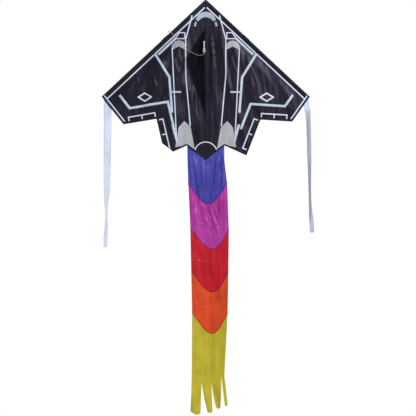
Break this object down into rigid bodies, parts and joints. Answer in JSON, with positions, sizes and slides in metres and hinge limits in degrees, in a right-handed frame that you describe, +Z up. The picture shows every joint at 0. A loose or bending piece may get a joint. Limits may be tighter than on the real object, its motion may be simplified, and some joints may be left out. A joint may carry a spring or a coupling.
{
  "type": "delta kite",
  "caption": "Flat delta kite with rod spars, a folding wing, a keel with a tow eyelet and leader, a hinged scalloped tail and two ribbon streamers.",
  "frame": {"origin": "nose of the sail, on the centre line in the plane of the cloth", "axes": "+Z up from the tail to the nose, -Y out of the front of the sail, +X to the right of the sail seen from the front"},
  "size_m": [1.166, 0.2086, 2.2785],
  "materials": {
    "sail_nylon": "satin woven nylon, black with a violet tint",
    "spar_rod": "satin fibreglass rod",
    "black_vinyl": "soft semi-gloss vinyl",
    "white_tape": "woven tape",
    "eyelet_brass": "polished brass",
    "leader_line": "braided polyester line",
    "blue_nylon": "satin woven nylon",
    "magenta_nylon": "satin woven nylon",
    "red_nylon": "satin woven nylon",
    "orange_nylon": "satin woven nylon",
    "yellow_nylon": "satin woven nylon",
    "pale_ribbon": "satin ribbon, pale blue white"
  },
  "bodies": {
    "root": {"sail_center_panel": "sail_nylon", "left_wing_sail": "sail_nylon", "nose_patch": "sail_nylon", "left_leading_edge_sleeve": "sail_nylon", "left_leading_edge_spar": "spar_rod", "left_spar_caps": "black_vinyl", "left_tip_patch": "sail_nylon", "left_spreader_connector": "black_vinyl", "spine_sleeve": "sail_nylon", "spine_spar": "spar_rod", "spine_caps": "black_vinyl", "leader_cord": "leader_line", "leader_loop_knot": "leader_line", "tail_heading": "blue_nylon", "left_streamer_hem": "pale_ribbon"},
    "right_wing": {"right_wing_sail": "sail_nylon", "right_leading_edge_sleeve": "sail_nylon", "right_leading_edge_spar": "spar_rod", "right_spar_caps": "black_vinyl", "right_tip_patch": "sail_nylon", "right_spreader_connector": "black_vinyl", "right_streamer_hem": "pale_ribbon"},
    "spreader": {"spreader_spar": "spar_rod", "spreader_end_caps": "black_vinyl"},
    "keel": {"keel_panel": "sail_nylon", "keel_reinforcement": "sail_nylon", "tow_tab": "white_tape", "tow_eyelet": "eyelet_brass"},
    "tail_1": {"tail_blue": "blue_nylon"},
    "tail_2": {"tail_magenta": "magenta_nylon"},
    "tail_3": {"tail_red": "red_nylon"},
    "tail_4": {"tail_orange": "orange_nylon"},
    "tail_5": {"tail_yellow": "yellow_nylon"},
    "left_ribbon": {"left_streamer": "pale_ribbon"},
    "right_ribbon": {"right_streamer": "pale_ribbon"}
  },
  "joints": [
    {"name": "right_wing_fold", "type": "hinge", "parent": "root", "child": "right_wing", "pos_m": [0, 0.0009, 0], "axis": [-0.128, 0, 0.9918], "range_deg": [0, 130]},
    {"name": "spreader_out", "type": "slide", "parent": "root", "child": "spreader", "axis": [0, 1, 0], "range_m": [0, 0.6]},
    {"name": "keel_flop", "type": "hinge", "parent": "root", "child": "keel", "pos_m": [0, -0.0012, 0], "axis": [0, 0, 1], "range_deg": [-75, 75], "deforming": ["leader_cord"]},
    {"name": "tail_swing", "type": "hinge", "parent": "root", "child": "tail_1", "pos_m": [0, 0.0007, -0.893], "axis": [1, 0, 0], "range_deg": [-60, 60]},
    {"name": "tail_bend_magenta", "type": "hinge", "parent": "tail_1", "child": "tail_2", "pos_m": [0, 0.0007, -0.997], "axis": [1, 0, 0], "range_deg": [-25, 25]},
    {"name": "tail_bend_red", "type": "hinge", "parent": "tail_2", "child": "tail_3", "pos_m": [0, 0.0007, -1.247], "axis": [1, 0, 0], "range_deg": [-25, 25]},
    {"name": "tail_bend_orange", "type": "hinge", "parent": "tail_3", "child": "tail_4", "pos_m": [0, 0.0007, -1.483], "axis": [1, 0, 0], "range_deg": [-25, 25]},
    {"name": "tail_bend_yellow", "type": "hinge", "parent": "tail_4", "child": "tail_5", "pos_m": [0, 0.0007, -1.71], "axis": [1, 0, 0], "range_deg": [-25, 25]},
    {"name": "left_streamer_swing", "type": "hinge", "parent": "root", "child": "left_ribbon", "pos_m": [-0.542, 0.00125, -0.616], "axis": [1, 0, 0], "range_deg": [-70, 70]},
    {"name": "right_streamer_swing", "type": "hinge", "parent": "right_wing", "child": "right_ribbon", "pos_m": [0.542, 0.00125, -0.616], "axis": [1, 0, 0], "range_deg": [-70, 70]}
  ],
  "couplings": [
    {"joint": "spreader_out", "follows": "right_wing_fold", "m_per_rad": 0.26}
  ]
}
